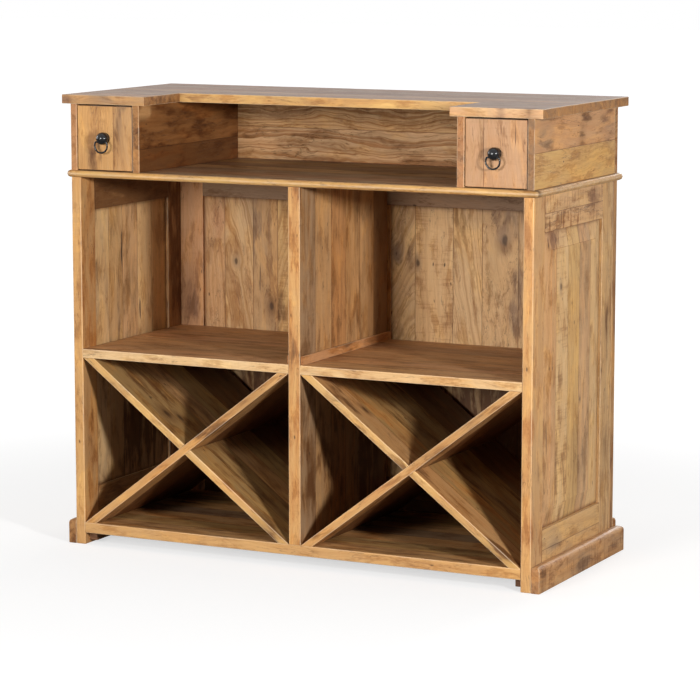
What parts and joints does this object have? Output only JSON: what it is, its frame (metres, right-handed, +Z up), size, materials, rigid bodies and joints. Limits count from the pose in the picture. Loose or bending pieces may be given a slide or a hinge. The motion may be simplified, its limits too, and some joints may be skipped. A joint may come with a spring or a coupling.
{
  "type": "bar counter with shelves",
  "caption": "Free-standing wooden home bar counter with open shelf bays, crossed bottle racks, a counter board, end drawers with drop rings and a raised U-shaped bar top.",
  "frame": {"origin": "on the floor, under the centre of the whole counter's bounding box", "axes": "+Z up, +X along the counter to the right of someone who faces the open side, and the open working side with drawers and shelves faces -Y; the panelled customer's side faces +Y"},
  "size_m": [1.2, 0.5326, 1.055],
  "materials": {
    "frame_wood": "satin, oiled",
    "panel_wood": "satin, oiled",
    "board_wood": "satin, oiled",
    "rack_wood": "satin, oiled",
    "gallery_wood": "satin, oiled",
    "top_wood": "satin, oiled",
    "drawer_wood": "satin, oiled",
    "dowel_wood": "matte, raw",
    "black_iron": "gloss black lacquer",
    "screw_steel": "zinc plated"
  },
  "bodies": {
    "case": {"back_bottom_rail": "frame_wood", "back_centre_stile": "frame_wood", "back_frame_dowels": "dowel_wood", "back_left_panel": "panel_wood", "back_left_stile": "frame_wood", "back_plinth": "frame_wood", "back_right_panel": "panel_wood", "back_right_stile": "frame_wood", "back_top_rail": "frame_wood", "board_dowels": "dowel_wood", "bottom_bearers": "board_wood", "bottom_board": "board_wood", "centre_divider": "board_wood", "counter_board": "board_wood", "counter_dowels": "dowel_wood", "divider_strips": "board_wood", "gallery_back": "gallery_wood", "gallery_screws": "screw_steel", "left_back_stile": "frame_wood", "left_bottom_rail": "frame_wood", "left_front_stile": "frame_wood", "left_inner_gallery_panel": "gallery_wood", "left_outer_gallery_panel": "gallery_wood", "left_plinth": "frame_wood", "left_rack_falling_board": "rack_wood", "left_rack_rising_board": "rack_wood", "left_shelf": "board_wood", "left_side_panel": "panel_wood", "left_top_rail": "frame_wood", "left_top_wing": "top_wood", "right_back_stile": "frame_wood", "right_bottom_rail": "frame_wood", "right_front_stile": "frame_wood", "right_inner_gallery_panel": "gallery_wood", "right_outer_gallery_panel": "gallery_wood", "right_plinth": "frame_wood", "right_rack_falling_board": "rack_wood", "right_rack_rising_board": "rack_wood", "right_shelf": "board_wood", "right_side_panel": "panel_wood", "right_top_rail": "frame_wood", "right_top_wing": "top_wood", "top_dowels": "dowel_wood", "top_main_board": "top_wood"},
    "drawer_left": {"left_drawer_back": "drawer_wood", "left_drawer_bottom": "drawer_wood", "left_drawer_front": "drawer_wood", "left_drawer_inner_side": "drawer_wood", "left_drawer_outer_side": "drawer_wood", "left_knob": "black_iron", "left_knob_bolt": "screw_steel"},
    "ring_left": {"left_drop_ring": "black_iron"},
    "drawer_right": {"right_drawer_back": "drawer_wood", "right_drawer_bottom": "drawer_wood", "right_drawer_front": "drawer_wood", "right_drawer_inner_side": "drawer_wood", "right_drawer_outer_side": "drawer_wood", "right_knob": "black_iron", "right_knob_bolt": "screw_steel"},
    "ring_right": {"right_drop_ring": "black_iron"}
  },
  "joints": [
    {"name": "left_drawer_slide", "type": "slide", "parent": "case", "child": "drawer_left", "axis": [0, -1, 0], "range_m": [0, 0.35]},
    {"name": "left_ring_swing", "type": "hinge", "parent": "drawer_left", "child": "ring_left", "pos_m": [-0.489, -0.25825, 0.9494], "axis": [-1, 0, 0], "range_deg": [-34, 190]},
    {"name": "right_drawer_slide", "type": "slide", "parent": "case", "child": "drawer_right", "axis": [0, -1, 0], "range_m": [0, 0.35]},
    {"name": "right_ring_swing", "type": "hinge", "parent": "drawer_right", "child": "ring_right", "pos_m": [0.489, -0.25825, 0.9494], "axis": [-1, 0, 0], "range_deg": [-34, 190]}
  ]
}
